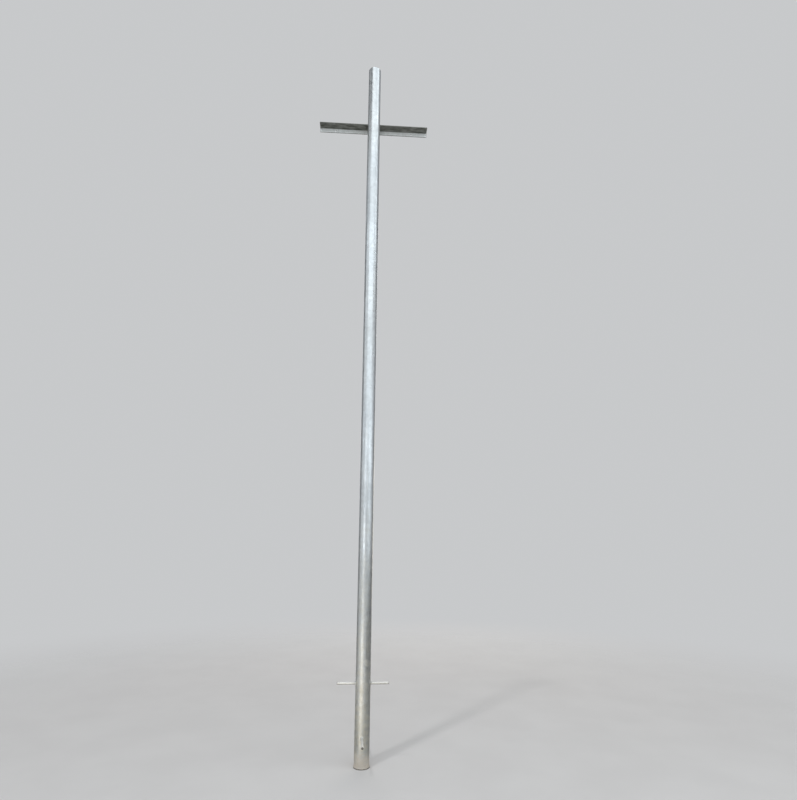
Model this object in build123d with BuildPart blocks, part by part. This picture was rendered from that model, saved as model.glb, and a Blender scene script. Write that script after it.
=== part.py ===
from build123d import *

import os

# A hot-dip galvanised traffic sign pole with no sign on it. The pole stands along +Z, the bearing face of its
# foot plate is at the origin, and the crossarm that carries the sign runs along X on the pole's +Y side.
# All sizes are in millimetres.

# Round tube
pole_length = 3350.0  # underside of the foot plate to the top of the cap
pole_diameter = 63.5
pole_wall = 3.0

# Flat cap, set back from the tube's rim so that its weld lies on the tube's end
cap_thickness = 3.0
cap_setback = 2.0

# Foot plate, with the hole that lets the zinc run out when the closed tube is dipped
foot_plate_thickness = 5.0
foot_plate_overhang = 2.0
drain_diameter = 8.0
drain_offset = 16.0

# Crossarm: an unequal angle bent from plate, lying on its long leg behind the pole
arm_length = 565.0
arm_long_leg = 50.0
arm_short_leg = 25.0
arm_thickness = 3.0
arm_bend_radius = 2.0  # inside of the bend
arm_corner_radius = 3.0
arm_drop = 320.0  # top of the cap down to the top of the arm
arm_cope_depth = 22.0  # how far the long leg reaches round the tube

# Bolt holes for the sign, in the arm's short leg
sign_hole_diameter = 9.0
sign_hole_spacing = 400.0
sign_hole_edge = 11.0  # lower edge of the short leg up to the holes

# Bars through the tube that key the buried end into its concrete
rod_diameter = 10.0
rod_end_chamfer = 0.8
upper_rod_height = 319.0
upper_rod_length = 220.0
lower_rod_height = 115.0
lower_rod_length = 280.0

# Welds
weld_gap = 0.3  # between curved faces that a weld joins
arm_weld_leg = 5.0
arm_weld_start_angle = 26.0  # from the X axis to the first end of the bead
rod_weld_leg = 4.0
foot_weld_height = 4.0
cap_weld_height = 2.4
weld_bulge = 0.5  # rise of a bead's crest above the straight line between its toes

# Sizes that follow
pole_radius = pole_diameter / 2
bore_radius = pole_radius - pole_wall
tube_top = pole_length - cap_thickness
tube_height = tube_top - foot_plate_thickness
cap_radius = pole_radius - cap_setback
foot_plate_radius = pole_radius + foot_plate_overhang
rod_radius = rod_diameter / 2
seat_radius = pole_radius + weld_gap
arm_top = pole_length - arm_drop
arm_underside = arm_top - arm_thickness
arm_front = pole_radius - arm_cope_depth
arm_back = arm_front + arm_long_leg
arm_bottom = arm_top - arm_short_leg
sign_hole_height = arm_bottom + sign_hole_edge


def finish(piece, node):
    """Label a finished piece and write it as a STEP file of its own."""
    piece.part.label = node
    export_step(piece.part, f"parts/{node}.step")


def weld_section(inner, foot, rise, side=1):
    """Section of a fillet weld: two legs that meet at (inner, foot), and a crest between their toes."""
    reach, height = rise
    outer_toe = (inner + reach, foot)
    upper_toe = (inner, foot + side * height)
    slope = (reach**2 + height**2) ** 0.5
    crest = (
        inner + reach / 2 + weld_bulge * height / slope,
        foot + side * (height / 2 + weld_bulge * reach / slope),
    )
    with BuildLine() as outline:
        Polyline((inner, foot), outer_toe, crest, upper_toe, close=True)
    return outline


os.makedirs("parts", exist_ok=True)

# The tube, drilled through in two directions for the anchor rods
with BuildPart() as pole_tube:
    with BuildSketch(Plane.XY.offset(foot_plate_thickness)):
        Circle(pole_radius)
        Circle(bore_radius, mode=Mode.SUBTRACT)
    extrude(amount=tube_height)
    for rod_plane, rod_height in ((Plane.YZ, upper_rod_height), (Plane.XZ, lower_rod_height)):
        with BuildSketch(rod_plane):
            with Locations((0, rod_height)):
                Circle(rod_radius + weld_gap)
        extrude(amount=pole_diameter, both=True, mode=Mode.SUBTRACT)
finish(pole_tube, "pole_tube")

# The cap: a flat disc that rests on the tube's end
with BuildPart() as top_cap:
    with BuildSketch(Plane.XY.offset(tube_top)):
        Circle(cap_radius)
    extrude(amount=cap_thickness)
finish(top_cap, "top_cap")

with BuildPart() as cap_weld:
    with BuildSketch(Plane.XZ):
        weld_width = cap_setback - weld_gap
        add(weld_section(cap_radius + weld_gap, tube_top, (weld_width, cap_weld_height)).line)
        make_face()
    revolve(axis=Axis.Z)
finish(cap_weld, "cap_weld")

# The plate that closes the foot, a little wider than the tube so that the weld has a ledge
with BuildPart() as foot_plate:
    with BuildSketch():
        Circle(foot_plate_radius)
        with Locations((0, drain_offset)):
            Circle(drain_diameter / 2, mode=Mode.SUBTRACT)
    extrude(amount=foot_plate_thickness)
finish(foot_plate, "foot_plate")

with BuildPart() as foot_weld:
    with BuildSketch(Plane.XZ):
        weld_width = foot_plate_overhang - weld_gap
        add(weld_section(seat_radius, foot_plate_thickness, (weld_width, foot_weld_height)).line)
        make_face()
    revolve(axis=Axis.Z)
finish(foot_weld, "foot_weld")

# The crossarm: an L section along X, its long leg coped to fit round the back of the tube
with BuildPart() as crossarm:
    with BuildSketch(Plane.YZ) as arm_section:
        with BuildLine():
            Polyline(
                (arm_front, arm_underside),
                (arm_back - arm_thickness, arm_underside),
                (arm_back - arm_thickness, arm_bottom),
                (arm_back, arm_bottom),
                (arm_back, arm_top),
                (arm_front, arm_top),
                close=True,
            )
        make_face()
        inner_bend = arm_section.vertices().group_by(Axis.X)[1].sort_by(Axis.Y)[-1]
        fillet(inner_bend, arm_bend_radius)
        outer_bend = arm_section.vertices().group_by(Axis.X)[-1].sort_by(Axis.Y)[-1]
        fillet(outer_bend, arm_bend_radius + arm_thickness)
    extrude(amount=arm_length / 2, both=True)
    front_corners = crossarm.edges().filter_by(Axis.Z).group_by(Axis.Y)[0]
    lower_corners = crossarm.edges().filter_by(Axis.Y).group_by(Axis.Z)[0]
    fillet(front_corners + lower_corners, arm_corner_radius)
    with BuildSketch(Plane.XY.offset(arm_top)):
        Circle(seat_radius)
    extrude(amount=-arm_short_leg, mode=Mode.SUBTRACT)
    with BuildSketch(Plane.XZ.offset(-arm_back)):
        with Locations((0, sign_hole_height)):
            with GridLocations(sign_hole_spacing, 0, 2, 1):
                Circle(sign_hole_diameter / 2)
    extrude(amount=arm_thickness, mode=Mode.SUBTRACT)
finish(crossarm, "crossarm")

# Fillet welds along the cope, above and below the arm's long leg
arm_weld_sweep = 180.0 - 2 * arm_weld_start_angle
for node, foot, side in (("arm_weld_top", arm_top, 1), ("arm_weld_bottom", arm_underside, -1)):
    with BuildPart() as arm_weld:
        with BuildSketch(Plane.XZ.rotated((0, 0, arm_weld_start_angle))):
            add(weld_section(seat_radius, foot, (arm_weld_leg, arm_weld_leg), side).line)
            make_face()
        revolve(axis=Axis.Z, revolution_arc=arm_weld_sweep)
    finish(arm_weld, node)

# The anchor rods: the upper one lies across the pole, the lower one from front to back
for node, rod_plane, rod_height, rod_length in (
    ("upper_anchor_rod", Plane.YZ, upper_rod_height, upper_rod_length),
    ("lower_anchor_rod", Plane.XZ, lower_rod_height, lower_rod_length),
):
    with BuildPart() as anchor_rod:
        with BuildSketch(rod_plane):
            with Locations((0, rod_height)):
                Circle(rod_radius)
        extrude(amount=rod_length / 2, both=True)
        chamfer(anchor_rod.edges().filter_by(GeomType.CIRCLE), rod_end_chamfer)
    finish(anchor_rod, node)

# A weld round each rod where it leaves the tube: a collar about the rod, scribed to the tube's curve
saddle_depth = pole_radius - (pole_radius**2 - (rod_radius + weld_gap + rod_weld_leg) ** 2) ** 0.5
for node, direction, rod_height in (
    ("upper_weld_left", (-1, 0, 0), upper_rod_height),
    ("upper_weld_right", (1, 0, 0), upper_rod_height),
    ("lower_weld_front", (0, -1, 0), lower_rod_height),
    ("lower_weld_back", (0, 1, 0), lower_rod_height),
):
    outward = Vector(direction)
    collar_plane = Plane(origin=(0, 0, rod_height), x_dir=(0, 0, 1), z_dir=outward.cross(Vector(0, 0, 1)))
    with BuildPart() as rod_weld:
        with BuildSketch(collar_plane):
            collar_root = (rod_radius + weld_gap, seat_radius - saddle_depth)
            collar_rise = (rod_weld_leg, rod_weld_leg + saddle_depth)
            add(weld_section(collar_root[0], collar_root[1], collar_rise).line)
            make_face()
        revolve(axis=Axis((0, 0, rod_height), outward))
        with BuildSketch(Plane.XY.offset(rod_height)):
            Circle(seat_radius)
        extrude(amount=pole_diameter, both=True, mode=Mode.SUBTRACT)
    finish(rod_weld, node)
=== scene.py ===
import math
import random

import bmesh
import bpy
from mathutils import Matrix, Vector


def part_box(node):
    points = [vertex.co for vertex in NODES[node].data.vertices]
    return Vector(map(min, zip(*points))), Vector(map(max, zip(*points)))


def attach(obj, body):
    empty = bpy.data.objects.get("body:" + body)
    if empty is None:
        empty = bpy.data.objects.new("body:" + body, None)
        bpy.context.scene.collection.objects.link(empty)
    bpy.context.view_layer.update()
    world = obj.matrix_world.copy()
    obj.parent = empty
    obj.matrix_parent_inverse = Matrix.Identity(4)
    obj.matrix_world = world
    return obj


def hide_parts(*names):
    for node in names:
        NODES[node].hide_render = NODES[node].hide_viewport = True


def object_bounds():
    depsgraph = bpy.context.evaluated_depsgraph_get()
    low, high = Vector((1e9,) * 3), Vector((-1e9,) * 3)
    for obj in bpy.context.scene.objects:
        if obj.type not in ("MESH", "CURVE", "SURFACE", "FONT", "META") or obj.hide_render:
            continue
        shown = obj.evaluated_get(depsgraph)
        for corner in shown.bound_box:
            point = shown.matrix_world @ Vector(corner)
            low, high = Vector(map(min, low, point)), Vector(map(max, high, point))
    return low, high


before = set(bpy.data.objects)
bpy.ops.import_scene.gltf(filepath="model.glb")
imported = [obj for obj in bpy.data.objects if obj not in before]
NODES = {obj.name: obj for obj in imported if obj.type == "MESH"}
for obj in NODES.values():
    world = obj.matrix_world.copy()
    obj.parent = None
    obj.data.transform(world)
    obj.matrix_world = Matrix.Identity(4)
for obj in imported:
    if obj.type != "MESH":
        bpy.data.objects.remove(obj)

CAD_LOW, CAD_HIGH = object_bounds()

# A hot-dip galvanised sign pole, in metres. It stands along +Z with its foot at the origin, its crossarm
# runs along X behind it, and the camera is on its -Y side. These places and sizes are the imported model's.
TUBE_LOW, TUBE_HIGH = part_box("pole_tube")
TUBE_RADIUS = TUBE_HIGH.x
CAP_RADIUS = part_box("top_cap")[1].x
CAP_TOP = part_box("top_cap")[1].z
PLATE_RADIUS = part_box("foot_plate")[1].x
PLATE_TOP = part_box("foot_plate")[1].z
ARM_LOW, ARM_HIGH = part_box("crossarm")
ARM_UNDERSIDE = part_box("arm_weld_bottom")[1].z
ARM_THICKNESS = ARM_HIGH.z - ARM_UNDERSIDE
UPPER_ROD_LOW, UPPER_ROD_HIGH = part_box("upper_anchor_rod")
LOWER_ROD_LOW, LOWER_ROD_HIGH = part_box("lower_anchor_rod")
UPPER_ROD_HEIGHT = (UPPER_ROD_LOW.z + UPPER_ROD_HIGH.z) / 2
LOWER_ROD_HEIGHT = (LOWER_ROD_LOW.z + LOWER_ROD_HIGH.z) / 2
ROD_RADIUS = (UPPER_ROD_HIGH.z - UPPER_ROD_LOW.z) / 2


# Camera

CAMERA_PLACE = Vector((-0.0408, -2.6545, 0.9549))
CAMERA_AZIMUTH = math.radians(3.909)  # from +Y towards +X
CAMERA_ELEVATION = math.radians(12.555)
CAMERA_ROLL = math.radians(0.458)
FOCAL_PIXELS = 579.74
LONG_SIDE_PIXELS = 800
SENSOR_SIZE = 36.0  # in millimetres, along the long side


def make_camera():
    """The camera at the photograph's viewing angle."""
    azimuth, elevation, roll = CAMERA_AZIMUTH, CAMERA_ELEVATION, CAMERA_ROLL
    ahead = Vector((
        math.sin(azimuth) * math.cos(elevation),
        math.cos(azimuth) * math.cos(elevation),
        math.sin(elevation),
    ))
    level = Vector((math.cos(azimuth), -math.sin(azimuth), 0.0))
    above = level.cross(ahead)
    right = math.cos(roll) * level + math.sin(roll) * above
    up = math.cos(roll) * above - math.sin(roll) * level
    data = bpy.data.cameras.new("camera")
    data.sensor_width = SENSOR_SIZE
    data.lens = FOCAL_PIXELS / LONG_SIDE_PIXELS * SENSOR_SIZE
    camera = bpy.data.objects.new("camera", data)
    turn = Matrix((right, up, -ahead)).transposed()
    camera.matrix_world = Matrix.Translation(CAMERA_PLACE) @ turn.to_4x4()
    bpy.context.scene.collection.objects.link(camera)
    bpy.context.scene.camera = camera


# Node trees

# Sockets of the Mix node when it mixes colours
MIX_FACTOR, MIX_FIRST, MIX_SECOND, MIX_RESULT = 0, 6, 7, 2

# Between these, soft noise mostly lies
NOISE_LOW, NOISE_HIGH = 0.3, 0.7


class Graph:
    """A node tree under construction, with short calls for the nodes that the finishes share.

    Each value that a call takes is a number, a tuple or another node's socket.
    """

    def __init__(self, tree):
        self.tree = tree
        self.tree.nodes.clear()

    def add(self, kind, inputs=None, **settings):
        """Add a node, set its properties and feed its inputs."""
        node = self.tree.nodes.new(kind)
        for key, value in settings.items():
            setattr(node, key, value)
        for key, value in (inputs or {}).items():
            self.feed(node.inputs[key], value)
        return node

    def feed(self, socket, value):
        """Link a socket to another, or give it a value of its own."""
        if isinstance(value, bpy.types.NodeSocket):
            self.tree.links.new(value, socket)
        else:
            socket.default_value = value

    def math(self, operation, *values, kind="ShaderNodeMath"):
        """The first result of a Math node, or of a Vector Math node if that is the kind."""
        return self.add(kind, dict(enumerate(values)), operation=operation).outputs[0]

    def total(self, first, second):
        """The sum of two values."""
        return self.math("ADD", first, second)

    def product(self, first, second):
        """Two values multiplied."""
        return self.math("MULTIPLY", first, second)

    def remap(self, value, low, high, to_low=0.0, to_high=1.0, smooth=True):
        """Map low..high to to_low..to_high, clamped, with soft ends unless smooth is False."""
        node = self.add(
            "ShaderNodeMapRange",
            {"Value": value, "From Min": low, "From Max": high, "To Min": to_low, "To Max": to_high},
            interpolation_type="SMOOTHSTEP" if smooth else "LINEAR",
        )
        return node.outputs["Result"]

    def between(self, mask, first, second):
        """A value that goes evenly from first to second as the mask goes from 0 to 1."""
        return self.remap(mask, 0.0, 1.0, first, second, smooth=False)

    def blend(self, factor, first, second, mode="MIX"):
        """Mix two colours."""
        inputs = {MIX_FACTOR: factor, MIX_FIRST: first, MIX_SECOND: second}
        node = self.add("ShaderNodeMix", inputs, data_type="RGBA", blend_type=mode)
        return node.outputs[MIX_RESULT]

    def noise(self, place, scale, detail=2.0, roughness=0.5, stretch=None):
        """Soft noise, from 0 to 1.

        scale is how many times it repeats in a metre, and detail how many finer layers it has. stretch has
        a factor for each axis, which is small where the pattern is long.
        """
        if stretch:
            place = self.math("MULTIPLY", place, stretch, kind="ShaderNodeVectorMath")
        node = self.add("ShaderNodeTexNoise", {
            "Vector": place, "Scale": scale, "Detail": detail, "Roughness": roughness,
        })
        return node.outputs["Fac"]

    def sway(self, noise, reach, smooth=False):
        """Soft noise as a shift of up to reach either way."""
        return self.remap(noise, NOISE_LOW, NOISE_HIGH, -reach, reach, smooth)

    def cells(self, place, scale, feature="F1"):
        """Cells round scattered points, as a Voronoi node with its outputs."""
        return self.add("ShaderNodeTexVoronoi", {"Vector": place, "Scale": scale}, feature=feature)


def rgba(colour):
    return (*colour, 1.0)


def start_material(name):
    """A new material, and the graph for its nodes."""
    material = bpy.data.materials.new(name)
    material.use_nodes = True
    return material, Graph(material.node_tree)


# Finishes

# The coat on each kind of piece, fresh and under dull patina
TUBE_PALE, TUBE_DULL = (0.595, 0.625, 0.650), (0.490, 0.518, 0.542)
ANGLE_PALE, ANGLE_DULL = (0.82, 0.83, 0.83), (0.71, 0.72, 0.72)
BAR_PALE, BAR_DULL = (0.76, 0.75, 0.72), (0.65, 0.64, 0.615)
WELD_PALE, WELD_DULL = (0.66, 0.67, 0.672), (0.52, 0.53, 0.53)

# What shows in the coat and what lies on it, with painted shade and a painted reflection among them
ZINC_WARM = (0.575, 0.572, 0.548)
WHITE_RUST = (0.71, 0.715, 0.70)
# Dry soil, tinted warm as a painted reflection of brown ground
SOIL_AND_PAINTED_REFLECTION = (0.49, 0.423, 0.27)
FOOT_BAND_TINT = (0.562, 0.482, 0.402)
# Dark on the rods' ends, and a painted contact shadow on the rim where the pole stands
DARK_ENDS_AND_PAINTED_SHADOW = (0.085, 0.080, 0.070)
SHEARED_ZINC = (0.155, 0.160, 0.145)
# Painted shade under faces that look down
UNDERSIDE_PAINTED_SHADE = (0.040, 0.046, 0.034)

# How strongly each of these tints the coat, from 0 to 1
WARM_STRENGTH = 0.36
RUN_STRENGTH = 0.35
SPECK_STRENGTH = 0.30
SCUFF_STRENGTH = 0.5
SEAM_STRENGTH = 0.45
DARK_EDGE_STRENGTH = 0.92

# The coat's crystals. These are per crystal, so that they hold for crystals of any size.
BORDER_NOISE = 0.9  # repeats of the noise that makes the borders ragged
BORDER_SHIFT = 0.9  # the most that this noise shifts them
BORDER_EDGE = 0.08  # half the width of the groove between two crystals
FROST_NOISE = 7.0  # repeats of the feathery tone
FROST_DEPTH = 0.03  # how much lighter or darker that tone gets

# Gloss of the coat
PATINA_METAL = 0.8  # share of the metal's gloss under patina
FRESH_ROUGHER, PATINA_ROUGHER = -0.04, 0.08  # added to the roughness without patina and under it
CRYSTAL_ROUGHER = 0.05  # the most that is added to a crystal's roughness, or taken off
RUN_ROUGHER = 0.06

BUMP_STRENGTH = 0.35
BUMP_DISTANCE = 0.0006

SCUFF_SLANT = 0.5  # of the scratches, from the pole's axis, in radians
SEAM_AZIMUTH = math.radians(128)  # of the tube's rolled seam, from the X axis
SEAM_WIDTH = 0.0034
SEAM_FADE = (0.35, 0.6)  # shares of that width at which the seam starts to fade and is gone
SEAM_WANDER = 0.0005
SOIL_WANDER = 0.25  # of the soil's upper edge, as a share of its height
FOOT_BAND_TOP = 0.085  # height up to which the bands reach
FOOT_BAND_WANDER = 0.45  # of its upper edge, as a share of that height
CUT_DEPTH = 0.0012  # how far the dark film at a cut reaches along the surface
DARK_EDGE_FADE = (0.3, 1.7)  # shares of that depth at which the film starts to fade and is gone
# A painted contact shadow: the dark rim on which the pole stands
PAINTED_FOOT_SHADOW_DEPTH = 0.0030  # depth of the dark rim on which the pole stands


class Zinc:
    """A hot-dip zinc finish in the making: the sockets that each layer reads and passes on.

    place is the point on the surface in the model's metres, and along gives its X, Y and Z. facing is 1
    on faces that look up and -1 on those that look down. upright is 1 on upright faces and 0 on level ones.
    """

    def __init__(self, name):
        self.material, self.graph = start_material(name)
        self.place = self.graph.add("ShaderNodeTexCoord").outputs["Object"]
        self.along = self.graph.add("ShaderNodeSeparateXYZ", {"Vector": self.place}).outputs
        normal = self.graph.add("ShaderNodeNewGeometry").outputs["Normal"]
        self.facing = self.graph.add("ShaderNodeSeparateXYZ", {"Vector": normal}).outputs["Z"]
        tilt = self.graph.math("ABSOLUTE", self.facing)
        self.upright = self.graph.remap(tilt, low=0.5, high=0.9, to_low=1.0, to_high=0.0)
        self.colour = self.metal = self.rough = None
        self.relief = 0.0

    def coat(self, mask, colour, metal_share, rougher):
        """Lay a film over what is there.

        metal_share is how much of the metal's gloss shows through, and rougher is added to the roughness.
        """
        graph = self.graph
        self.colour = graph.blend(mask, self.colour, rgba(colour))
        self.metal = graph.product(self.metal, graph.between(mask, 1.0, metal_share))
        self.rough = graph.total(self.rough, graph.product(mask, rougher))

    def raise_by(self, mask, height):
        """Raise the surface. The height counts in bump distances."""
        self.relief = self.graph.total(self.relief, self.graph.product(mask, height))

    def close(self):
        """Join the layers to the shader."""
        graph = self.graph
        bump = graph.add("ShaderNodeBump", {
            "Strength": BUMP_STRENGTH, "Distance": BUMP_DISTANCE, "Height": self.relief,
        })
        surface = graph.add("ShaderNodeBsdfPrincipled", {
            "Base Color": self.colour, "Metallic": self.metal, "Roughness": self.rough,
            "Normal": bump.outputs["Normal"],
        })
        graph.add("ShaderNodeOutputMaterial", {"Surface": surface.outputs["BSDF"]})
        return self.material


def start_zinc(name, pale, dull, spangle, spangle_depth, roughness, metallic):
    """The bare coat: crystals of slightly different tone, clouds of dull patina, runs and specks.

    spangle is the size of a crystal in metres and spangle_depth is how much its tone varies.
    """
    zinc = Zinc(name)
    graph, place = zinc.graph, zinc.place

    # Crystals with ragged borders
    ragged = graph.add("ShaderNodeTexNoise", {
        "Vector": place, "Scale": BORDER_NOISE / spangle, "Detail": 3.0,
    })
    shift_inputs = {0: ragged.outputs["Color"], "Scale": BORDER_SHIFT * spangle}
    shift = graph.add("ShaderNodeVectorMath", shift_inputs, operation="SCALE").outputs[0]
    warped = graph.math("ADD", place, shift, kind="ShaderNodeVectorMath")
    crystal = graph.cells(warped, 1.0 / spangle)
    chance = graph.add("ShaderNodeSeparateColor", {"Color": crystal.outputs["Color"]}).outputs
    border = graph.cells(warped, 1.0 / spangle, "DISTANCE_TO_EDGE").outputs["Distance"]
    frost = graph.noise(warped, FROST_NOISE / spangle, detail=4.0, roughness=0.6)

    # Clouds of patina, warmer patches, runs, specks and fine grain
    cloud = graph.noise(place, scale=9.0, detail=4.0, roughness=0.6, stretch=(1.0, 1.0, 0.35))
    drift = graph.noise(place, scale=2.3, detail=2.0, roughness=0.5, stretch=(1.0, 1.0, 0.5))
    runs = graph.noise(place, scale=130.0, detail=3.0, roughness=0.55, stretch=(1.0, 1.0, 0.035))
    specks = graph.noise(place, scale=190.0, detail=4.0, roughness=0.65)
    grain = graph.noise(place, scale=1400.0, detail=2.0, roughness=0.5)
    patina = graph.remap(cloud, low=0.40, high=0.66)
    warm_mask = graph.remap(drift, low=0.45, high=0.7, to_high=WARM_STRENGTH)
    run_mask = graph.product(graph.remap(runs, low=0.54, high=0.70), zinc.upright)
    speck_mask = graph.remap(specks, low=0.62, high=0.72)

    # Colour
    colour = graph.blend(patina, rgba(pale), rgba(dull))
    colour = graph.blend(warm_mask, colour, rgba(ZINC_WARM))
    colour = graph.blend(graph.product(run_mask, RUN_STRENGTH), colour, rgba(WHITE_RUST))
    colour = graph.blend(graph.product(speck_mask, SPECK_STRENGTH), colour, rgba(WHITE_RUST))
    facet = graph.between(chance["Red"], 1.0 - spangle_depth, 1.0 + spangle_depth)
    darkest, lightest = 1.0 - FROST_DEPTH, 1.0 + FROST_DEPTH
    feather = graph.remap(frost, NOISE_LOW, NOISE_HIGH, darkest, lightest, smooth=False)
    value = graph.product(facet, feather)
    shade = graph.add("ShaderNodeCombineColor", {"Red": value, "Green": value, "Blue": value})
    zinc.colour = graph.blend(1.0, colour, shade.outputs["Color"], "MULTIPLY")

    # Gloss
    zinc.metal = graph.between(patina, metallic, PATINA_METAL * metallic)
    rough = graph.total(roughness, graph.between(patina, FRESH_ROUGHER, PATINA_ROUGHER))
    rough = graph.total(rough, graph.between(chance["Green"], -CRYSTAL_ROUGHER, CRYSTAL_ROUGHER))
    zinc.rough = graph.total(rough, graph.product(run_mask, RUN_ROUGHER))

    # Relief
    zinc.raise_by(graph.remap(border, low=0.0, high=BORDER_EDGE), height=0.10)
    zinc.raise_by(run_mask, height=0.8)
    zinc.raise_by(specks, height=0.7)
    zinc.raise_by(grain, height=0.12)
    return zinc


def add_pimples(zinc):
    """Specks of dross that set in the coat."""
    graph = zinc.graph
    distance = graph.cells(zinc.place, scale=95.0).outputs["Distance"]
    near = graph.remap(distance, low=0.06, high=0.16, to_low=1.0, to_high=0.0)
    chosen = graph.remap(graph.noise(zinc.place, scale=31.0), low=0.52, high=0.60)
    zinc.raise_by(graph.product(near, chosen), height=0.9)


def add_scuffs(zinc):
    """Fine slanting scratches from handling, in patches, brighter and rougher than the coat."""
    graph = zinc.graph
    turned = graph.add(
        "ShaderNodeVectorRotate", {"Vector": zinc.place, "Angle": SCUFF_SLANT}, rotation_type="X_AXIS"
    )
    lines = graph.noise(turned.outputs["Vector"], scale=520.0, stretch=(1.0, 1.0, 0.03))
    line_mask = graph.remap(lines, low=0.60, high=0.70)
    patch = graph.remap(graph.noise(zinc.place, scale=5.5, detail=3.0), low=0.52, high=0.66)
    mask = graph.product(graph.product(line_mask, patch), SCUFF_STRENGTH)
    zinc.coat(mask, WHITE_RUST, metal_share=0.95, rougher=0.08)


def add_seam(zinc):
    """The tube's rolled seam: a narrow straight band, a little proud and duller than the coat."""
    graph, along = zinc.graph, zinc.along
    angle = graph.math("ARCTAN2", along["Y"], along["X"])
    offset = graph.product(graph.math("SUBTRACT", angle, SEAM_AZIMUTH), TUBE_RADIUS)
    noise = graph.noise(zinc.place, scale=60.0, stretch=(1.0, 1.0, 0.2))
    wander = graph.sway(noise, SEAM_WANDER, smooth=True)
    reach = graph.math("ABSOLUTE", graph.total(offset, wander))
    fade_start, fade_end = (share * SEAM_WIDTH for share in SEAM_FADE)
    band = graph.remap(reach, fade_start, fade_end, to_low=1.0, to_high=0.0)
    band = graph.product(band, zinc.upright)
    zinc.coat(graph.product(band, SEAM_STRENGTH), TUBE_DULL, metal_share=0.85, rougher=0.12)
    zinc.raise_by(band, height=0.6)


def film_below(zinc, top, strength, noise, wander):
    """Cover that thins out from the foot up to a height, which wanders with noise by a share of itself."""
    height = zinc.graph.total(zinc.along["Z"], zinc.graph.sway(noise, wander * top))
    return zinc.graph.remap(height, low=0.0, high=top, to_low=strength, to_high=0.0)


def add_soil_and_painted_reflection(zinc, top, strength):
    """A film of dry soil, whose warm tint is partly a painted reflection of brown ground."""
    graph = zinc.graph
    noise = graph.noise(zinc.place, scale=14.0, detail=5.0, roughness=0.65)
    film = film_below(zinc, top, strength, noise, SOIL_WANDER)
    flecks = graph.noise(zinc.place, scale=60.0, detail=5.0, roughness=0.7)
    cover = graph.remap(flecks, low=0.42, high=0.62, to_low=0.45)
    zinc.coat(graph.product(film, cover), SOIL_AND_PAINTED_REFLECTION, metal_share=0.0, rougher=0.30)


def add_foot_bands(zinc, strength):
    """Faint level bands of a pinkish beige film round the foot."""
    graph = zinc.graph
    bands = graph.noise(zinc.place, scale=26.0, detail=4.0, roughness=0.6, stretch=(1.0, 1.0, 9.0))
    film = film_below(zinc, FOOT_BAND_TOP, strength, bands, FOOT_BAND_WANDER)
    cover = graph.remap(bands, low=0.35, high=0.6, to_low=0.6)
    zinc.coat(graph.product(film, cover), FOOT_BAND_TINT, metal_share=0.0, rougher=0.30)
    zinc.raise_by(film, height=0.5)


def add_painted_underside_shade(zinc):
    """Painted shade: a dark film under faces that look down."""
    graph = zinc.graph
    under = graph.remap(zinc.facing, low=-0.25, high=-0.8)
    shade_blotch = graph.noise(zinc.place, scale=70.0, detail=4.0, roughness=0.6, stretch=(0.3, 1.0, 1.0))
    cover = graph.remap(shade_blotch, low=0.35, high=0.65, to_low=0.80, to_high=0.98)
    zinc.coat(graph.product(under, cover), UNDERSIDE_PAINTED_SHADE, metal_share=0.25, rougher=0.2)


def add_dark_edges(zinc, planes, colour, depth=CUT_DEPTH):
    """A dark film on cut ends and edges, or a painted contact shadow where the pole stands. A plane is the
    axis it lies across and its place on that axis.
    """
    graph = zinc.graph
    wander = graph.sway(graph.noise(zinc.place, scale=420.0, detail=4.0, roughness=0.6), depth)
    fade_start, fade_end = (share * depth for share in DARK_EDGE_FADE)
    mask = 0.0
    for axis, place in planes:
        reach = graph.math("ABSOLUTE", graph.math("SUBTRACT", zinc.along[axis], place))
        reach = graph.total(reach, wander)
        near = graph.remap(reach, fade_start, fade_end, to_low=DARK_EDGE_STRENGTH, to_high=0.0)
        mask = graph.math("MAXIMUM", mask, near)
    zinc.coat(mask, colour, metal_share=0.35, rougher=0.25)


def tube_finish():
    """The tube, cap and foot plate: bright satin zinc with soil and faint level bands towards the foot, the
    soil's warm tint partly a painted reflection of the ground, and a painted contact shadow on the rim
    where it stands.
    """
    zinc = start_zinc(
        "zinc_tube", TUBE_PALE, TUBE_DULL,
        spangle=0.014, spangle_depth=0.07, roughness=0.34, metallic=0.94,
    )
    add_scuffs(zinc)
    add_pimples(zinc)
    add_seam(zinc)
    # Soil, its warm tint partly a painted reflection of the ground
    add_soil_and_painted_reflection(zinc, top=1.15, strength=0.42)
    add_foot_bands(zinc, strength=0.88)
    # A painted contact shadow: a dark rim round the foot where the pole stands
    add_dark_edges(zinc, (("Z", CAD_LOW.z),), DARK_ENDS_AND_PAINTED_SHADOW, PAINTED_FOOT_SHADOW_DEPTH)
    return zinc.close()


def angle_finish():
    """The crossarm: dull pale zinc with painted shade underneath, and dark on its sheared edges."""
    zinc = start_zinc(
        "zinc_angle", ANGLE_PALE, ANGLE_DULL,
        spangle=0.010, spangle_depth=0.06, roughness=0.50, metallic=0.35,
    )
    add_pimples(zinc)
    # Painted shade under the arm's downward faces
    add_painted_underside_shade(zinc)
    edges = (("Y", ARM_LOW.y), ("X", ARM_LOW.x), ("X", ARM_HIGH.x), ("Z", ARM_LOW.z))
    add_dark_edges(zinc, edges, SHEARED_ZINC)
    return zinc.close()


def bar_finish(name, axis, low, high):
    """An anchor rod: dull zinc with painted shade underneath, and dark on its two ends, which lie across an
    axis.
    """
    zinc = start_zinc(
        name, BAR_PALE, BAR_DULL,
        spangle=0.006, spangle_depth=0.05, roughness=0.48, metallic=0.40,
    )
    # Painted shade under the rod
    add_painted_underside_shade(zinc)
    add_dark_edges(zinc, ((axis, low), (axis, high)), DARK_ENDS_AND_PAINTED_SHADOW)
    return zinc.close()


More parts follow.
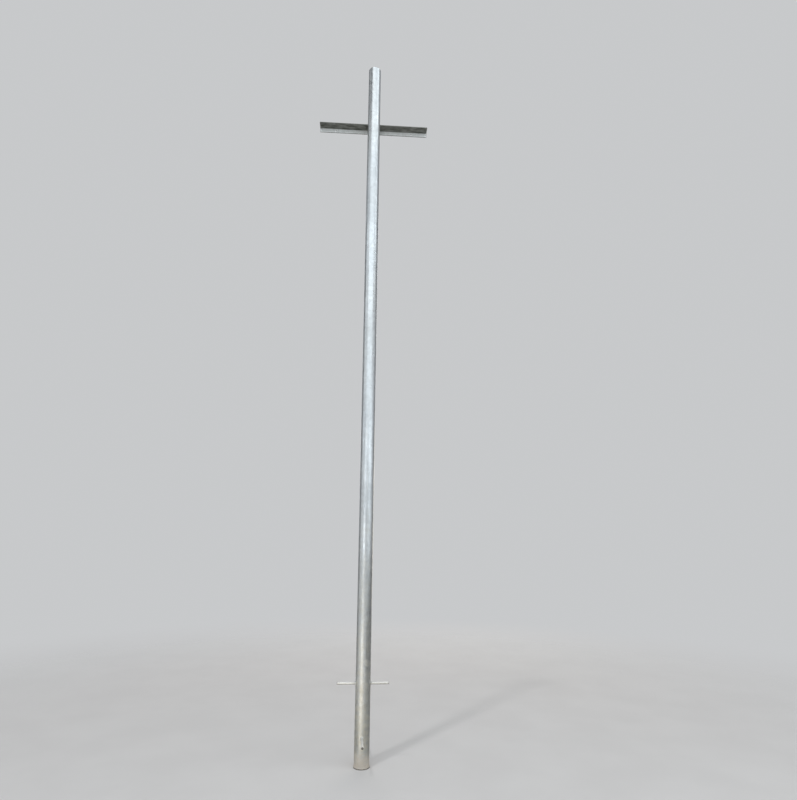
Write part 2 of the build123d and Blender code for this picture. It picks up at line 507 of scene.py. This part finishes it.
def weld_finish():
    """The weld beads and their spatter: zinc with fine crystals."""
    zinc = start_zinc(
        "zinc_weld", WELD_PALE, WELD_DULL,
        spangle=0.004, spangle_depth=0.05, roughness=0.46, metallic=0.60,
    )
    add_pimples(zinc)
    # Soil, its warm tint partly a painted reflection of the ground
    add_soil_and_painted_reflection(zinc, top=0.55, strength=0.35)
    add_foot_bands(zinc, strength=0.75)
    return zinc.close()


def dress(material, *nodes):
    """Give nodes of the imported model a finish."""
    for node in nodes:
        slots = NODES[node].data.materials
        slots.clear()
        slots.append(material)


# Meshes

def to_mesh(name, form):
    """Turn a finished form into mesh data."""
    mesh_data = bpy.data.meshes.new(name)
    form.to_mesh(mesh_data)
    form.free()
    return mesh_data


def add_object(name, mesh_data):
    """Put mesh data into the scene."""
    piece = bpy.data.objects.new(name, mesh_data)
    bpy.context.scene.collection.objects.link(piece)
    return piece


def join_rings(form, rings, closed):
    """Join rings of points into a skin that closes on itself, or that ends in a flat face at each end."""
    following_rings = rings[1:] + rings[:1] if closed else rings[1:]
    faces = []
    for ring, following in zip(rings, following_rings):
        for index in range(len(ring)):
            other = (index + 1) % len(ring)
            faces.append(form.faces.new((ring[index], ring[other], following[other], following[index])))
    if not closed:
        faces.append(form.faces.new(rings[0]))
        faces.append(form.faces.new(list(reversed(rings[-1]))))
    bmesh.ops.recalc_face_normals(form, faces=faces)


# Weld beads

RIPPLE_PITCH = 0.0030
RIPPLE_DEPTH = 0.00022
RIPPLE_LEAD = 0.55  # of a pitch, by which a ripple's middle runs ahead of its ends
RIPPLE_LEAN = 0.6  # below 1 the crest comes early in a ripple
RIPPLE_SHARPNESS = 1.5
BEAD_STEP = 0.0005  # between rings
BEAD_LEAST_RINGS = 16
BEAD_POINTS = 9  # from toe to toe
BEAD_EMBED = 0.0003  # how far the toes sink into the surfaces that they join
BEAD_SWELL = 0.16  # share by which the crest rises and falls along a bead
BEAD_END_LENGTH = 0.004  # over which an open bead grows to its full section
BEAD_END_SHARE = 0.35  # of the full section, at the very end
WAVE_HARMONICS = (2, 3, 5, 8, 13)
WAVE_PEAK = 2.4  # the most that the harmonics add up to, rounded up

RING_BULGE = 0.0004  # of the beads round the cap and the foot
RING_TOE_INSET = 0.0001  # of their outer toe from the edge of the ledge
RING_TOE_WANDER = 0.00012
RING_TOP_WANDER = 0.00035
CAP_BEAD_DROP = 0.0008  # from the top of the cap down to the bead's upper toe
FOOT_BEAD_HEIGHT = 0.004  # from the foot plate up to the bead's upper toe
FILLET_BULGE = 0.0006  # of the beads at the arm and the rods
ARM_LEG_WANDER, ARM_CLIMB_WANDER = 0.09, 0.11  # as shares of the leg
COLLAR_LEG = 0.0040
COLLAR_WANDER = 0.13  # as a share of the leg


def ripple(phase):
    """Height of a ripple from 0 to 1: a quick rise at its leading edge and a slow fall behind it."""
    part = phase - math.floor(phase)
    return math.sin(math.pi * part ** RIPPLE_LEAN) ** RIPPLE_SHARPNESS


def wave(turn, seed):
    """A smooth random curve from -1 to 1 along a bead, closed over one turn."""
    draw = random.Random(seed)
    total = 0.0
    for harmonic in WAVE_HARMONICS:
        total += math.sin(turn * math.tau * harmonic + draw.uniform(0.0, math.tau)) / harmonic ** 0.5
    return total / WAVE_PEAK


def end_fade(turn, length):
    """Share of the full section that an open bead has at a share of its length."""
    from_end = min(turn, 1.0 - turn) * length
    return min(1.0, from_end / BEAD_END_LENGTH + BEAD_END_SHARE)


def bead_mesh(name, place, length, toes, root, closed, bulge, seed):
    """The skin of a weld bead.

    place(turn, across, rise) gives a point of the bead's section at a share of its length. toes(turn)
    gives the section's two toes as (across, rise), and root(turn) gives its root. bulge is how far the
    crest rises above the line between the toes.
    """
    count = max(BEAD_LEAST_RINGS, round(length / BEAD_STEP))
    ripples = round(length / RIPPLE_PITCH)
    form = bmesh.new()
    rings = []
    for step in range(count if closed else count + 1):
        turn = step / count
        first, second = (Vector(toe) for toe in toes(turn))
        corner = Vector(root(turn))
        middle = (first + second) / 2
        chord = second - first
        outward = Vector((chord.y, -chord.x)).normalized()
        if outward.dot(corner - middle) > 0:
            outward.negate()
        swell = 1.0 + BEAD_SWELL * wave(turn, seed)
        fade = 1.0 if closed else end_fade(turn, length)
        ring = [form.verts.new(place(turn, *corner))]
        for index in range(BEAD_POINTS):
            share = index / (BEAD_POINTS - 1)
            arch = 4.0 * share * (1.0 - share)  # 0 at the toes and 1 at the crest
            phase = turn * ripples + RIPPLE_LEAD * arch
            lift = bulge * arch * swell * fade + RIPPLE_DEPTH * ripple(phase) * arch ** 0.5 * fade
            point = first.lerp(second, share) * fade + corner * (1.0 - fade) + outward * lift
            ring.append(form.verts.new(place(turn, *point)))
        rings.append(ring)
    join_rings(form, rings, closed)
    mesh_data = to_mesh(name, form)
    mesh_data.shade_smooth()
    return mesh_data


def place_bead(name, mesh_data, node, material):
    """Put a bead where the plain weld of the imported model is."""
    bead = add_object(name, mesh_data)
    bead.data.materials.append(material)
    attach(bead, "root")
    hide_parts(node)


def ring_bead(name, node, inner, outer, foot, top, material, seed):
    """A bead round the pole that joins a level ledge to an upright face.

    inner and outer are the radii of its toes, foot and top their heights. The ledge is at the foot.
    """
    def place(turn, across, rise):
        angle = turn * math.tau
        return Vector((across * math.cos(angle), across * math.sin(angle), rise))

    def toes(turn):
        return (
            (outer - RING_TOE_INSET + RING_TOE_WANDER * wave(turn, seed + 1), foot - BEAD_EMBED),
            (inner - BEAD_EMBED, top + RING_TOP_WANDER * wave(turn, seed + 2)),
        )

    def root(turn):
        return (inner - BEAD_EMBED, foot - BEAD_EMBED)

    length = outer * math.tau
    mesh_data = bead_mesh(name, place, length, toes, root, closed=True, bulge=RING_BULGE, seed=seed)
    place_bead(name, mesh_data, node, material)


def arm_bead(name, node, seat, side, material, seed):
    """A bead along the arm's cope, above (side 1) or below (side -1) its long leg."""
    low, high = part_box(node)
    reach = high.y - TUBE_RADIUS
    start = math.asin(low.y / TUBE_RADIUS)
    sweep = math.pi - 2 * start
    length = sweep * (TUBE_RADIUS + reach / 2)

    def place(turn, across, rise):
        angle = start + turn * sweep
        return Vector((across * math.cos(angle), across * math.sin(angle), rise))

    def toes(turn):
        leg = reach * (1.0 + ARM_LEG_WANDER * wave(turn, seed + 1))
        climb = reach * (1.0 + ARM_CLIMB_WANDER * wave(turn, seed + 2))
        lower_toe = (TUBE_RADIUS + leg, seat - side * BEAD_EMBED)
        return lower_toe, (TUBE_RADIUS - BEAD_EMBED, seat + side * climb)

    def root(turn):
        return (TUBE_RADIUS - BEAD_EMBED, seat - side * BEAD_EMBED)

    mesh_data = bead_mesh(name, place, length, toes, root, closed=False, bulge=FILLET_BULGE, seed=seed)
    place_bead(name, mesh_data, node, material)


def collar_bead(name, node, outward, height, material, seed):
    """A saddle-shaped bead round an anchor rod where it leaves the tube."""
    side = Vector((-outward.y, outward.x, 0.0))
    centre = Vector((0.0, 0.0, height))

    def seat(turn, distance):
        """How far from the pole's axis the tube's surface lies, at a distance from the rod's axis."""
        offset = distance * math.cos(turn * math.tau)
        return math.sqrt(TUBE_RADIUS ** 2 - offset ** 2)

    def place(turn, across, rise):
        angle = turn * math.tau
        around = side * across * math.cos(angle) + Vector((0.0, 0.0, across * math.sin(angle)))
        return centre + outward * rise + around

    def toes(turn):
        spread = ROD_RADIUS + COLLAR_LEG * (1.0 + COLLAR_WANDER * wave(turn, seed + 1))
        climb = COLLAR_LEG * (1.0 + COLLAR_WANDER * wave(turn, seed + 2))
        rod_side = ROD_RADIUS - BEAD_EMBED
        return (spread, seat(turn, spread) - BEAD_EMBED), (rod_side, seat(turn, ROD_RADIUS) + climb)

    def root(turn):
        return (ROD_RADIUS - BEAD_EMBED, seat(turn, ROD_RADIUS) - 2 * BEAD_EMBED)

    length = (ROD_RADIUS + COLLAR_LEG / 2) * math.tau
    mesh_data = bead_mesh(name, place, length, toes, root, closed=True, bulge=FILLET_BULGE, seed=seed)
    place_bead(name, mesh_data, node, material)


# Spatter and set zinc. A pair of numbers is the least and the most.

LUMP_SUBDIVISIONS = 2

SPATTER_SEED = 41
SPATTER_RADIUS = (0.0004, 0.0011)
SPATTER_FLATNESS = (0.45, 0.8)
SPATTER_RISE = (0.35, 1.0)  # shares of its reach above or below a weld
ROD_SPATTER_ANGLE, ROD_SPATTER_REACH = 16, 0.016
SPATTER_FOOT_MARGIN = 0.005  # above the foot plate
SPATTER_TOP_MARGIN = 0.001  # below the tube's upper end
CAP_SPATTER_DROP = 0.004  # from the tube's upper end down to the middle of the spatter there

DRIP_SEED = 17
DRIP_COUNT = 15
DRIP_MARGIN = 0.012  # from either end of the arm
DRIP_STRAY = (0.1, 0.9)  # where a drip sits in its own share of the edge
DRIP_WIDTH = (0.0011, 0.0024)
DRIP_DROP = (0.0008, 0.0026)
DRIP_DEPTH = 0.0014

RUN_SEED = 73
RUN_COUNT = 18
RUN_MARGIN = 0.45  # from either end of the tube
RUN_LENGTH = (0.018, 0.065)
RUN_WIDTH = (0.0012, 0.0024)
RUN_HEIGHT = (0.00025, 0.0005)
RUN_NOSE = 0.12  # share of a run's length that its round lower end takes
RUN_TIP = 0.02  # share of the full breadth at either tip
RUN_TAPER, RUN_TAIL = 0.7, 0.12  # how fast the breadth shrinks, and what is left near the upper tip
RUN_WANDER = 0.0006
RUN_BEND = 5.0  # how far the wander's wave turns along a run, in radians
RUN_STEPS, RUN_POINTS = 14, 7
RUN_EMBED, RUN_ROOT = 0.00005, 0.0004  # how far a run's edges and its underside sink into the tube


def add_lump(form, centre, turn, radii):
    """A small rounded lump, half sunk in a surface."""
    shape = Matrix.Translation(centre) @ turn @ Matrix.Diagonal((*radii, 1.0))
    bmesh.ops.create_icosphere(form, subdivisions=LUMP_SUBDIVISIONS, radius=1.0, matrix=shape)


def finish_lumps(name, form, material):
    """Make one piece of all the lumps in a form."""
    mesh_data = to_mesh(name, form)
    mesh_data.shade_smooth()
    piece = add_object(name, mesh_data)
    piece.data.materials.append(material)
    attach(piece, "root")


def weld_spatter(material):
    """Beads of spatter that the zinc has covered, on the tube round each weld."""
    draw = random.Random(SPATTER_SEED)
    form = bmesh.new()
    # Of each weld: its middle from the X axis and the spread to either side of it in degrees, its height,
    # the reach above and below it, and the number of lumps
    welds = (
        (90, 62, ARM_HIGH.z, 0.030, 26),
        (180, ROD_SPATTER_ANGLE, UPPER_ROD_HEIGHT, ROD_SPATTER_REACH, 9),
        (0, ROD_SPATTER_ANGLE, UPPER_ROD_HEIGHT, ROD_SPATTER_REACH, 8),
        (270, ROD_SPATTER_ANGLE, LOWER_ROD_HEIGHT, ROD_SPATTER_REACH, 9),
        (90, ROD_SPATTER_ANGLE, LOWER_ROD_HEIGHT, ROD_SPATTER_REACH, 8),
        (200, 170, PLATE_TOP + FOOT_BEAD_HEIGHT, 0.010, 22),
        (20, 170, TUBE_HIGH.z - CAP_SPATTER_DROP, 0.006, 12),
    )
    lowest, highest = PLATE_TOP + SPATTER_FOOT_MARGIN, TUBE_HIGH.z - SPATTER_TOP_MARGIN
    for middle, spread, level, reach, count in welds:
        for _ in range(count):
            angle = math.radians(middle) + draw.uniform(-math.radians(spread), math.radians(spread))
            height = level + draw.uniform(*SPATTER_RISE) * reach * draw.choice((-1, 1))
            height = min(max(height, lowest), highest)
            normal = Vector((math.cos(angle), math.sin(angle), 0.0))
            centre = normal * TUBE_RADIUS + Vector((0.0, 0.0, height))
            turn = normal.to_track_quat("Z", "Y").to_matrix().to_4x4()
            radius, flatness = draw.uniform(*SPATTER_RADIUS), draw.uniform(*SPATTER_FLATNESS)
            add_lump(form, centre, turn, (radius, radius, radius * flatness))
    finish_lumps("weld_spatter", form, material)


def zinc_drips(material):
    """Drips that set on the lower edge of the arm's short leg as it left the bath."""
    draw = random.Random(DRIP_SEED)
    form = bmesh.new()
    middle = ARM_HIGH.y - ARM_THICKNESS / 2
    span = ARM_HIGH.x - ARM_LOW.x - 2 * DRIP_MARGIN
    for index in range(DRIP_COUNT):
        along = ARM_LOW.x + DRIP_MARGIN + span * (index + draw.uniform(*DRIP_STRAY)) / DRIP_COUNT
        width, drop = draw.uniform(*DRIP_WIDTH), draw.uniform(*DRIP_DROP)
        add_lump(form, Vector((along, middle, ARM_LOW.z)), Matrix.Identity(4), (width, DRIP_DEPTH, drop))
    finish_lumps("zinc_drips", form, material)


def run_swell(share):
    """Breadth of a run along its length: a round lower end, then a long taper."""
    if share in (0.0, 1.0):
        return RUN_TIP
    if share < RUN_NOSE:
        return math.sqrt(1.0 - (1.0 - share / RUN_NOSE) ** 2)
    return (1.0 - share) ** RUN_TAPER + RUN_TAIL


def add_run(form, angle, foot, length, width, height):
    """One run: a lens-shaped strip along the tube that wanders a little to its sides."""
    rings = []
    for step in range(RUN_STEPS + 1):
        share = step / RUN_STEPS
        swell = run_swell(share)
        middle = angle + RUN_WANDER * math.sin(share * RUN_BEND + angle) / TUBE_RADIUS
        profile = [(1.0, -RUN_ROOT), (-1.0, -RUN_ROOT)]
        for index in range(RUN_POINTS):
            part = 2.0 * index / (RUN_POINTS - 1) - 1.0
            profile.append((part, height * swell * (1.0 - part ** 2) - RUN_EMBED))
        ring = []
        for part, lift in profile:
            turn = middle + width * swell * part / TUBE_RADIUS
            radius = TUBE_RADIUS + lift
            point = (radius * math.cos(turn), radius * math.sin(turn), foot + length * share)
            ring.append(form.verts.new(point))
        rings.append(ring)
    join_rings(form, rings, closed=False)


def zinc_runs(material):
    """Thick runs that set along the tube as the bath drained off it, each fat at its lower end."""
    draw = random.Random(RUN_SEED)
    form = bmesh.new()
    for _ in range(RUN_COUNT):
        angle = draw.uniform(0.0, math.tau)
        foot = draw.uniform(TUBE_LOW.z + RUN_MARGIN, TUBE_HIGH.z - RUN_MARGIN)
        length, width = draw.uniform(*RUN_LENGTH), draw.uniform(*RUN_WIDTH)
        add_run(form, angle, foot, length, width, draw.uniform(*RUN_HEIGHT))
    finish_lumps("zinc_runs", form, material)


# Studio

FLOOR_RADIUS = 6.0
FLOOR_SEGMENTS = 96
FLOOR_COLOUR = (0.695, 0.675, 0.67)
FLOOR_MOTTLE = (0.67, 0.65, 0.645)
FLOOR_FADE_START, FLOOR_FADE_END = 1.3, 4.2
BACKDROP = (0.575, 0.585, 0.595)
AMBIENT = (0.32, 0.325, 0.33)

# Dark panels that only reflections see
FLAG_DISTANCE = 0.95
FLOOR_FLAG_START = 0.07  # from the pole's axis
FLOOR_FLAG_LIFT = 0.014  # above the floor
DIM_FLAG_LIFT = 0.013  # the dim one lies under the others
TALL_FLAG = (0.13, 0.132, 0.135)
LOW_FLAG = (0.12, 0.117, 0.108)
FLOOR_FLAG = (0.17, 0.16, 0.14)
DIM_FLOOR = (0.42, 0.385, 0.31)

# Lamps
WHITE = (1.0, 1.0, 1.0)
DAYLIGHT = (0.885, 0.967, 1.0)
OVERCAST = (0.925, 0.977, 1.0)
WARM = (1.0, 0.88, 0.67)  # tint of what the floor sends back
PANELS = (
    # Name, place by azimuth, distance and height, height on the pole that it faces, size, radiance and tint
    ("sky_panel", (-2, 3.3, 4.15), 2.6, (6.4, 5.3), 1.07, DAYLIGHT),
    ("right_panel", (70, 3.8, 5.7), 2.6, (1.9, 2.8), 1.7, DAYLIGHT),
    ("right_side_panel", (50, 3.8, 1.63), 1.35, (2.9, 1.4), 1.46, DAYLIGHT),
    ("left_panel", (-78, 3.8, 2.9), 2.2, (1.6, 4.4), 0.65, DAYLIGHT),
    ("low_panel", (-31, 4.8, 0.78), 0.73, (2.3, 1.5), 1.76, OVERCAST),
    ("back_panel", (178, 4.8, 3.0), 1.6, (4.2, 4.2), 1.1, WHITE),
    ("low_back_panel", (158, 4.8, 1.15), 0.8, (2.6, 2.2), 1.3, WARM),
)
REFLECTOR_LIFT = 0.01  # above the floor
DISTANT_PLACE = (-40, 3.6, 6.8)  # azimuth, distance and height, for its direction alone
DISTANT_STRENGTH = 0.38
DISTANT_ANGLE = math.radians(3.5)
UP = (0.0, 0.0, 1.0)


def polar(azimuth, distance, height):
    """A place round the pole; azimuth 0 is on the camera's side and 90 to its right, in degrees."""
    turn = math.radians(azimuth)
    return (math.sin(turn) * distance, -math.cos(turn) * distance, height)


def make_floor():
    """A plain pale floor that fades into the background with distance."""
    form = bmesh.new()
    bmesh.ops.create_circle(form, cap_ends=True, segments=FLOOR_SEGMENTS, radius=FLOOR_RADIUS)
    floor = add_object("studio_floor", to_mesh("studio_floor", form))
    material, graph = start_material("studio_floor")
    place = graph.add("ShaderNodeTexCoord").outputs["Object"]
    distance = graph.add("ShaderNodeVectorMath", {0: place}, operation="LENGTH").outputs["Value"]
    mottle = graph.remap(graph.noise(place, scale=3.0, detail=3.0), NOISE_LOW, NOISE_HIGH)
    colour = graph.blend(mottle, rgba(FLOOR_COLOUR), rgba(FLOOR_MOTTLE))
    matt = graph.add("ShaderNodeBsdfDiffuse", {"Color": colour})
    clear = graph.add("ShaderNodeBsdfTransparent")
    fade = graph.remap(distance, FLOOR_FADE_START, FLOOR_FADE_END)
    mixed = graph.add("ShaderNodeMixShader", {0: fade, 1: matt.outputs[0], 2: clear.outputs[0]})
    graph.add("ShaderNodeOutputMaterial", {"Surface": mixed.outputs[0]})
    floor.data.materials.append(material)


def make_flag(name, start, end, azimuth, width, colour):
    """A matt dark panel, from start to end, that shows in reflections only.

    Without one on each side of the pole, the edges of round metal are lost in a pale studio.
    """
    side = Vector(polar(azimuth + 90, width / 2, 0.0))
    form = bmesh.new()
    corners = (Vector(start) - side, Vector(start) + side, Vector(end) + side, Vector(end) - side)
    form.faces.new([form.verts.new(corner) for corner in corners])
    flag = add_object(name, to_mesh(name, form))
    material, graph = start_material(name)
    matt = graph.add("ShaderNodeBsdfDiffuse", {"Color": rgba(colour)})
    graph.add("ShaderNodeOutputMaterial", {"Surface": matt.outputs[0]})
    flag.data.materials.append(material)
    flag.visible_camera = flag.visible_diffuse = flag.visible_shadow = False


def upright_flag(name, azimuth, distance, low, high, width, colour):
    """A flag that stands at a distance from the pole, between two heights."""
    start, end = polar(azimuth, distance, low), polar(azimuth, distance, high)
    make_flag(name, start, end, azimuth, width, colour)


def floor_flag(name, azimuth, lift, width, colour):
    """A flag that lies on the floor, from beside the pole out to the tall flags."""
    near, far = polar(azimuth, FLOOR_FLAG_START, lift), polar(azimuth, FLAG_DISTANCE, lift)
    make_flag(name, near, far, azimuth, width, colour)


def make_flags():
    """Dark panels: tall ones on both sides, three on the floor, a low one on the right and one high up."""
    upright_flag("left_flag", -121, FLAG_DISTANCE, low=0.0, high=4.4, width=0.62, colour=TALL_FLAG)
    upright_flag("right_flag", 124, FLAG_DISTANCE, low=0.0, high=4.4, width=0.54, colour=TALL_FLAG)
    floor_flag("left_floor_flag", -113, FLOOR_FLAG_LIFT, width=0.88, colour=FLOOR_FLAG)
    floor_flag("right_floor_flag", 112, FLOOR_FLAG_LIFT, width=0.90, colour=FLOOR_FLAG)
    floor_flag("dim_floor_flag", 58, DIM_FLAG_LIFT, width=0.95, colour=DIM_FLOOR)
    upright_flag("low_flag", 70, distance=1.0, low=0.0, high=0.76, width=1.6, colour=LOW_FLAG)
    upright_flag("top_flag", -61, distance=2.0, low=4.5, high=6.6, width=1.75, colour=TALL_FLAG)


def make_world():
    """A plain pale studio all round, which lights matt surfaces less than it shows in the metal."""
    world = bpy.data.worlds.new("studio")
    world.use_nodes = True
    graph = Graph(world.node_tree)
    rays = graph.add("ShaderNodeLightPath").outputs
    seen = graph.math("MAXIMUM", rays["Is Camera Ray"], rays["Is Glossy Ray"])
    seen = graph.math("MAXIMUM", seen, rays["Is Transmission Ray"])
    colour = graph.blend(seen, rgba(AMBIENT), rgba(BACKDROP))
    light = graph.add("ShaderNodeBackground", {"Color": colour, "Strength": 1.0})
    graph.add("ShaderNodeOutputWorld", {"Surface": light.outputs[0]})
    bpy.context.scene.world = world


def place_lamp(name, data, place, aim, upright=UP):
    """Put a lamp, unseen by the camera, at a place and turn it to face a point."""
    back = (Vector(place) - Vector(aim)).normalized()
    side = Vector(upright).cross(back).normalized()
    turn = Matrix((side, back.cross(side), back)).transposed()
    lamp = bpy.data.objects.new(name, data)
    lamp.matrix_world = Matrix.Translation(place) @ turn.to_4x4()
    lamp.visible_camera = False
    bpy.context.scene.collection.objects.link(lamp)


def softbox(name, place, aim, size, radiance, colour, upright=UP):
    """A soft area lamp of a given radiance. size is its width and its height, which runs along upright."""
    width, height = size
    data = bpy.data.lights.new(name, "AREA")
    data.shape = "RECTANGLE"
    data.size, data.size_y = width, height
    data.energy = radiance * math.pi * width * height
    data.color = colour
    place_lamp(name, data, place, aim, upright)


def floor_reflector(name, azimuth, near, far, width, radiance):
    """A panel that lies on the floor and faces up, with the warm tint of a paved yard."""
    middle = (near + far) / 2
    place, above = polar(azimuth, middle, REFLECTOR_LIFT), polar(azimuth, middle, 1.0)
    softbox(name, place, above, (width, far - near), radiance, WARM, upright=polar(azimuth, 1.0, 0.0))


def make_lights():
    """Soft panels on all sides, two reflectors on the floor, and a distant lamp for the pole's shadow."""
    for name, place, aim_height, size, radiance, colour in PANELS:
        softbox(name, polar(*place), (0.0, 0.0, aim_height), size, radiance, colour)
    floor_reflector("front_reflector", -26, near=0.15, far=2.85, width=0.86, radiance=1.08)
    floor_reflector("back_reflector", 176, near=0.25, far=2.85, width=0.5, radiance=1.1)
    distant = bpy.data.lights.new("distant_lamp", "SUN")
    distant.energy = DISTANT_STRENGTH
    distant.angle = DISTANT_ANGLE
    place_lamp("distant_lamp", distant, polar(*DISTANT_PLACE), (0.0, 0.0, 0.0))


# The object

def dress_nodes(tube, angle):
    """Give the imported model's tube, plates, arm and rods their finishes."""
    dress(tube, "pole_tube", "top_cap", "foot_plate")
    dress(angle, "crossarm")
    dress(bar_finish("zinc_upper_bar", "X", UPPER_ROD_LOW.x, UPPER_ROD_HIGH.x), "upper_anchor_rod")
    dress(bar_finish("zinc_lower_bar", "Y", LOWER_ROD_LOW.y, LOWER_ROD_HIGH.y), "lower_anchor_rod")


def make_welds(weld):
    """A rippled bead in place of each plain weld."""
    cap_foot, cap_top = TUBE_HIGH.z, CAP_TOP - CAP_BEAD_DROP
    ring_bead("cap_bead", "cap_weld", CAP_RADIUS, TUBE_RADIUS, cap_foot, cap_top, weld, seed=3)
    foot_top = PLATE_TOP + FOOT_BEAD_HEIGHT
    ring_bead("foot_bead", "foot_weld", TUBE_RADIUS, PLATE_RADIUS, PLATE_TOP, foot_top, weld, seed=11)
    arm_bead("arm_bead_top", "arm_weld_top", ARM_HIGH.z, 1, weld, seed=19)
    arm_bead("arm_bead_bottom", "arm_weld_bottom", ARM_UNDERSIDE, -1, weld, seed=27)
    across, ahead = Vector((1.0, 0.0, 0.0)), Vector((0.0, 1.0, 0.0))
    collar_bead("upper_bead_left", "upper_weld_left", -across, UPPER_ROD_HEIGHT, weld, seed=35)
    collar_bead("upper_bead_right", "upper_weld_right", across, UPPER_ROD_HEIGHT, weld, seed=43)
    collar_bead("lower_bead_front", "lower_weld_front", -ahead, LOWER_ROD_HEIGHT, weld, seed=51)
    collar_bead("lower_bead_back", "lower_weld_back", ahead, LOWER_ROD_HEIGHT, weld, seed=59)


bpy.context.scene.view_settings.view_transform = "Standard"
make_camera()
make_world()
make_floor()
make_flags()
make_lights()
tube, angle, weld = tube_finish(), angle_finish(), weld_finish()
dress_nodes(tube, angle)
make_welds(weld)
weld_spatter(weld)
zinc_drips(angle)
zinc_runs(tube)
